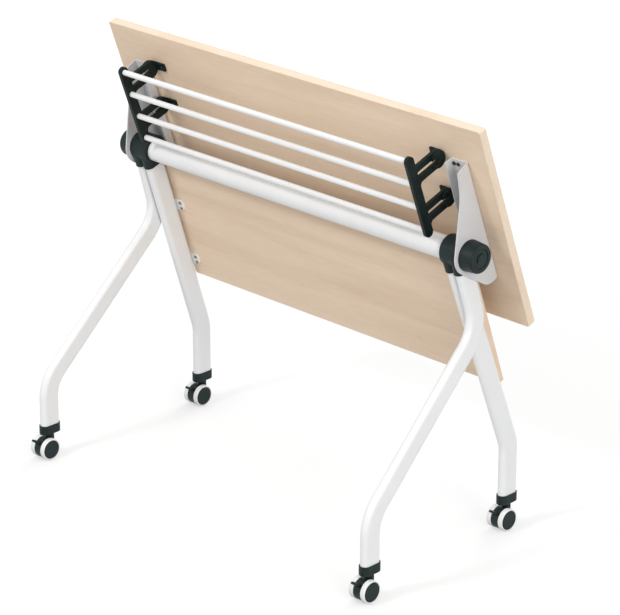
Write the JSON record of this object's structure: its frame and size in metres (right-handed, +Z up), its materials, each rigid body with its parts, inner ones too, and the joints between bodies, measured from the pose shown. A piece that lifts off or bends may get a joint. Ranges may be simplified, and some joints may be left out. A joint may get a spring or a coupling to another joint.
{
  "type": "folding training table",
  "caption": "Folding training table with a tip-up wood-effect top, rod book rack, modesty panel and bent tube legs on braked twin-wheel casters.",
  "frame": {"origin": "on the floor under the middle of the folded table's bounding box", "axes": "+X along the top to the right as seen by the sitter, +Y away from the sitter, +Z up"},
  "size_m": [1.1, 0.5262, 0.9632],
  "materials": {
    "laminate": "satin light maple laminate",
    "edge_band": "satin wood-tone edge strip",
    "white_paint": "satin white powder coat",
    "arm_paint": "satin light grey powder coat",
    "tab_paint": "satin light powder coat",
    "dark_plastic": "fine-textured charcoal plastic",
    "white_tyre": "satin white tread",
    "pin_steel": "turned steel",
    "spring_steel": "drawn wire",
    "screw_steel": "zinc plated"
  },
  "bodies": {
    "frame": {"beam": "white_paint", "modesty_panel": "laminate", "panel_tabs": "tab_paint", "panel_screws": "screw_steel", "front_leg_left": "white_paint", "rear_leg_left": "white_paint", "hub_left": "dark_plastic", "tilt_pin_left": "pin_steel", "front_leg_right": "white_paint", "rear_leg_right": "white_paint", "hub_right": "dark_plastic", "tilt_pin_right": "pin_steel", "foot_cap_front_right": "dark_plastic", "foot_cap_front_left": "dark_plastic", "foot_cap_rear_right": "dark_plastic", "foot_cap_rear_left": "dark_plastic"},
    "top": {"tabletop_board": "laminate", "tabletop_edge_band": "edge_band", "rack_rods": "white_paint", "arm_screws": "screw_steel", "rack_screws": "screw_steel", "folding_arm_left": "arm_paint", "rack_bracket_left": "dark_plastic", "lock_knob_housing_left": "dark_plastic", "button_spring_left": "spring_steel", "folding_arm_right": "arm_paint", "rack_bracket_right": "dark_plastic", "lock_knob_housing_right": "dark_plastic", "button_spring_right": "spring_steel"},
    "button_left": {"release_button_left": "dark_plastic"},
    "button_right": {"release_button_right": "dark_plastic"},
    "caster_front_right": {"caster_body_front_right": "dark_plastic", "caster_axle_front_right": "pin_steel"},
    "wheel_a_front_right": {"wheel_disc_a_front_right": "dark_plastic", "tyre_a_front_right": "white_tyre"},
    "wheel_b_front_right": {"wheel_disc_b_front_right": "dark_plastic", "tyre_b_front_right": "white_tyre"},
    "brake_front_right": {"brake_lever_front_right": "dark_plastic"},
    "caster_front_left": {"caster_body_front_left": "dark_plastic", "caster_axle_front_left": "pin_steel"},
    "wheel_a_front_left": {"wheel_disc_a_front_left": "dark_plastic", "tyre_a_front_left": "white_tyre"},
    "wheel_b_front_left": {"wheel_disc_b_front_left": "dark_plastic", "tyre_b_front_left": "white_tyre"},
    "brake_front_left": {"brake_lever_front_left": "dark_plastic"},
    "caster_rear_right": {"caster_body_rear_right": "dark_plastic", "caster_axle_rear_right": "pin_steel"},
    "wheel_a_rear_right": {"wheel_disc_a_rear_right": "dark_plastic", "tyre_a_rear_right": "white_tyre"},
    "wheel_b_rear_right": {"wheel_disc_b_rear_right": "dark_plastic", "tyre_b_rear_right": "white_tyre"},
    "brake_rear_right": {"brake_lever_rear_right": "dark_plastic"},
    "caster_rear_left": {"caster_body_rear_left": "dark_plastic", "caster_axle_rear_left": "pin_steel"},
    "wheel_a_rear_left": {"wheel_disc_a_rear_left": "dark_plastic", "tyre_a_rear_left": "white_tyre"},
    "wheel_b_rear_left": {"wheel_disc_b_rear_left": "dark_plastic", "tyre_b_rear_left": "white_tyre"},
    "brake_rear_left": {"brake_lever_rear_left": "dark_plastic"}
  },
  "joints": [
    {"name": "top_tilt", "type": "hinge", "parent": "frame", "child": "top", "pos_m": [0, 0.07511, 0.673], "axis": [1, 0, 0], "range_deg": [0, 70]},
    {"name": "button_right_press", "type": "slide", "parent": "top", "child": "button_right", "axis": [-1, 0, 0], "range_m": [0, 0.005], "stiffness_N_per_m": 800, "springref_m": -0.002, "deforming": ["button_spring_right"]},
    {"name": "button_left_press", "type": "slide", "parent": "top", "child": "button_left", "axis": [1, 0, 0], "range_m": [0, 0.005], "stiffness_N_per_m": 800, "springref_m": -0.002, "deforming": ["button_spring_left"]},
    {"name": "swivel_front_right", "type": "hinge", "parent": "frame", "child": "caster_front_right", "pos_m": [0.499, -0.21389, 0.05], "axis": [0, 0, 1], "continuous": true},
    {"name": "roll_a_front_right", "type": "hinge", "parent": "caster_front_right", "child": "wheel_a_front_right", "pos_m": [0.499, -0.22859, 0.025], "axis": [1, 0, 0], "continuous": true},
    {"name": "roll_b_front_right", "type": "hinge", "parent": "caster_front_right", "child": "wheel_b_front_right", "pos_m": [0.499, -0.22859, 0.025], "axis": [1, 0, 0], "continuous": true},
    {"name": "brake_front_right_press", "type": "hinge", "parent": "caster_front_right", "child": "brake_front_right", "pos_m": [0.499, -0.24359, 0.04], "axis": [1, 0, 0], "range_deg": [0, 15]},
    {"name": "swivel_front_left", "type": "hinge", "parent": "frame", "child": "caster_front_left", "pos_m": [-0.499, -0.21389, 0.05], "axis": [0, 0, 1], "continuous": true},
    {"name": "roll_a_front_left", "type": "hinge", "parent": "caster_front_left", "child": "wheel_a_front_left", "pos_m": [-0.499, -0.22859, 0.025], "axis": [1, 0, 0], "continuous": true},
    {"name": "roll_b_front_left", "type": "hinge", "parent": "caster_front_left", "child": "wheel_b_front_left", "pos_m": [-0.499, -0.22859, 0.025], "axis": [1, 0, 0], "continuous": true},
    {"name": "brake_front_left_press", "type": "hinge", "parent": "caster_front_left", "child": "brake_front_left", "pos_m": [-0.499, -0.24359, 0.04], "axis": [1, 0, 0], "range_deg": [0, 15]},
    {"name": "swivel_rear_right", "type": "hinge", "parent": "frame", "child": "caster_rear_right", "pos_m": [0.475, 0.23661, 0.05], "axis": [0, 0, 1], "continuous": true},
    {"name": "roll_a_rear_right", "type": "hinge", "parent": "caster_rear_right", "child": "wheel_a_rear_right", "pos_m": [0.475, 0.22191, 0.025], "axis": [1, 0, 0], "continuous": true},
    {"name": "roll_b_rear_right", "type": "hinge", "parent": "caster_rear_right", "child": "wheel_b_rear_right", "pos_m": [0.475, 0.22191, 0.025], "axis": [1, 0, 0], "continuous": true},
    {"name": "brake_rear_right_press", "type": "hinge", "parent": "caster_rear_right", "child": "brake_rear_right", "pos_m": [0.475, 0.20691, 0.04], "axis": [1, 0, 0], "range_deg": [0, 15]},
    {"name": "swivel_rear_left", "type": "hinge", "parent": "frame", "child": "caster_rear_left", "pos_m": [-0.475, 0.23661, 0.05], "axis": [0, 0, 1], "continuous": true},
    {"name": "roll_a_rear_left", "type": "hinge", "parent": "caster_rear_left", "child": "wheel_a_rear_left", "pos_m": [-0.475, 0.22191, 0.025], "axis": [1, 0, 0], "continuous": true},
    {"name": "roll_b_rear_left", "type": "hinge", "parent": "caster_rear_left", "child": "wheel_b_rear_left", "pos_m": [-0.475, 0.22191, 0.025], "axis": [1, 0, 0], "continuous": true},
    {"name": "brake_rear_left_press", "type": "hinge", "parent": "caster_rear_left", "child": "brake_rear_left", "pos_m": [-0.475, 0.20691, 0.04], "axis": [1, 0, 0], "range_deg": [0, 15]}
  ]
}
